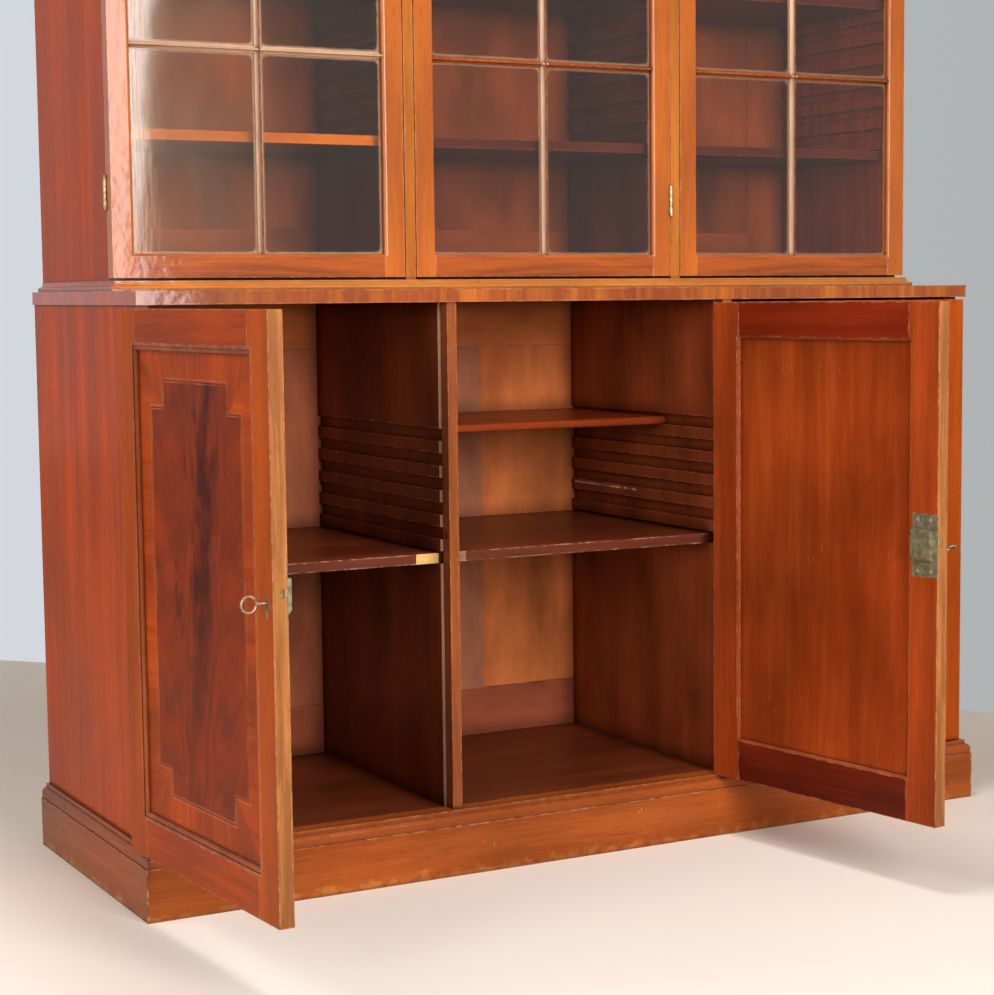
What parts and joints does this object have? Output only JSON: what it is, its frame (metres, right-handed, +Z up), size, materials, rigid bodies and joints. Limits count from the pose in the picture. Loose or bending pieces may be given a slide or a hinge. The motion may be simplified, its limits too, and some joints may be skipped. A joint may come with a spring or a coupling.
{
  "type": "bookcase with glass doors",
  "caption": "Two-body mahogany bookcase: glazed upper doors over a panelled lower cupboard on a plinth, shown with lower doors open.",
  "frame": {"origin": "middle of the plinth's underside, on the middle bearer, halfway across the width and the depth of the plinth", "axes": "+X to the right seen from the front, +Y to the back, +Z up"},
  "size_m": [1.5446, 0.992, 2.33],
  "materials": {
    "flame_mahogany": "wax polished",
    "glass": "old polished",
    "hinge_brass": "worn",
    "key_steel": "worn",
    "lock_brass": "worn",
    "mahogany_case": "wax polished",
    "mahogany_doors": "wax polished",
    "mahogany_inside": "wax polished",
    "old_pine": "unfinished"
  },
  "bodies": {
    "case": {"cornice": "mahogany_case", "lower_back_frame": "mahogany_inside", "lower_back_panels": "mahogany_inside", "lower_case_hinges": "hinge_brass", "lower_door_strips": "mahogany_doors", "lower_floor_board": "mahogany_inside", "lower_partitions": "mahogany_inside", "lower_shelves": "mahogany_inside", "lower_sides": "mahogany_case", "lower_top_board": "mahogany_case", "lower_top_edging": "mahogany_case", "plinth_bearers": "old_pine", "plinth_boards": "mahogany_case", "plinth_glue_blocks": "old_pine", "plinth_moulding": "mahogany_case", "upper_back_frame": "mahogany_inside", "upper_back_panels": "mahogany_inside", "upper_base_moulding": "mahogany_case", "upper_case_hinges": "hinge_brass", "upper_door_strips": "mahogany_doors", "upper_floor_board": "mahogany_inside", "upper_partitions": "mahogany_inside", "upper_shelves": "mahogany_inside", "upper_sides": "mahogany_case", "upper_top_board": "mahogany_case"},
    "lower_left_door": {"lower_left_door_frame": "mahogany_doors", "lower_left_door_hinges": "hinge_brass", "lower_left_door_moulding": "mahogany_doors", "lower_left_door_panel": "flame_mahogany", "lower_left_lock": "lock_brass"},
    "lower_middle_door": {"lower_middle_door_frame": "mahogany_doors", "lower_middle_door_hinges": "hinge_brass", "lower_middle_door_moulding": "mahogany_doors", "lower_middle_door_panel": "flame_mahogany", "lower_middle_lock": "lock_brass"},
    "lower_right_door": {"lower_right_door_frame": "mahogany_doors", "lower_right_door_hinges": "hinge_brass", "lower_right_door_moulding": "mahogany_doors", "lower_right_door_panel": "flame_mahogany", "lower_right_lock": "lock_brass"},
    "upper_left_door": {"upper_left_door_bars": "mahogany_doors", "upper_left_door_frame": "mahogany_doors", "upper_left_door_hinges": "hinge_brass", "upper_left_door_panes": "glass", "upper_left_lock": "lock_brass"},
    "upper_middle_door": {"upper_middle_door_bars": "mahogany_doors", "upper_middle_door_frame": "mahogany_doors", "upper_middle_door_hinges": "hinge_brass", "upper_middle_door_panes": "glass", "upper_middle_lock": "lock_brass"},
    "upper_right_door": {"upper_right_door_bars": "mahogany_doors", "upper_right_door_frame": "mahogany_doors", "upper_right_door_hinges": "hinge_brass", "upper_right_door_panes": "glass", "upper_right_lock": "lock_brass"},
    "lower_left_bolt": {"lower_left_bolt": "lock_brass"},
    "lower_left_key": {"lower_left_key": "key_steel"},
    "lower_middle_bolt": {"lower_middle_bolt": "lock_brass"},
    "lower_middle_key": {"lower_middle_key": "key_steel"},
    "half_shelf": {"lower_half_shelf": "mahogany_inside"}
  },
  "joints": [
    {"name": "lower_left_door_hinge", "type": "hinge", "parent": "case", "child": "lower_left_door", "pos_m": [-0.7426, -0.22535, 0.49], "axis": [0, 0, -1], "range_deg": [-86.2, 83.8]},
    {"name": "lower_middle_door_hinge", "type": "hinge", "parent": "case", "child": "lower_middle_door", "pos_m": [0.24155, -0.2483, 0.49], "axis": [0, 0, 1], "range_deg": [-99, 71]},
    {"name": "lower_right_door_hinge", "type": "hinge", "parent": "case", "child": "lower_right_door", "pos_m": [0.7426, -0.22535, 0.49], "axis": [0, 0, 1], "range_deg": [0, 170]},
    {"name": "upper_left_door_hinge", "type": "hinge", "parent": "case", "child": "upper_left_door", "pos_m": [-0.7276, -0.07535, 1.57], "axis": [0, 0, -1], "range_deg": [0, 170]},
    {"name": "upper_middle_door_hinge", "type": "hinge", "parent": "case", "child": "upper_middle_door", "pos_m": [0.23605, -0.0993, 1.57], "axis": [0, 0, 1], "range_deg": [0, 170]},
    {"name": "upper_right_door_hinge", "type": "hinge", "parent": "case", "child": "upper_right_door", "pos_m": [0.7276, -0.07535, 1.57], "axis": [0, 0, 1], "range_deg": [0, 170]},
    {"name": "lower_left_key_turn", "type": "hinge", "parent": "lower_left_door", "child": "lower_left_key", "pos_m": [-0.73299, -0.69214, 0.513], "axis": [0.9978, 0.0663, 0], "range_deg": [-0.1, 360.1]},
    {"name": "lower_left_bolt_slide", "type": "slide", "parent": "lower_left_door", "child": "lower_left_bolt", "axis": [0.0663, -0.9978, 0], "range_m": [0, 0.0072]},
    {"name": "lower_middle_key_turn", "type": "hinge", "parent": "lower_middle_door", "child": "lower_middle_key", "pos_m": [0.31273, -0.70797, 0.513], "axis": [0.9877, 0.1564, 0], "range_deg": [-66.1, 294.1]},
    {"name": "lower_middle_bolt_slide", "type": "slide", "parent": "lower_middle_door", "child": "lower_middle_bolt", "axis": [0.1564, -0.9877, 0], "range_m": [-0.00132, 0.00588]},
    {"name": "half_shelf_slide", "type": "slide", "parent": "case", "child": "half_shelf", "axis": [0, -1, 0], "range_m": [0, 0.14]}
  ],
  "couplings": [
    {"joint": "lower_left_key_turn", "follows": "lower_left_bolt_slide", "rad_per_m": 872.66},
    {"joint": "lower_middle_key_turn", "follows": "lower_middle_bolt_slide", "rad_per_m": 872.66}
  ]
}
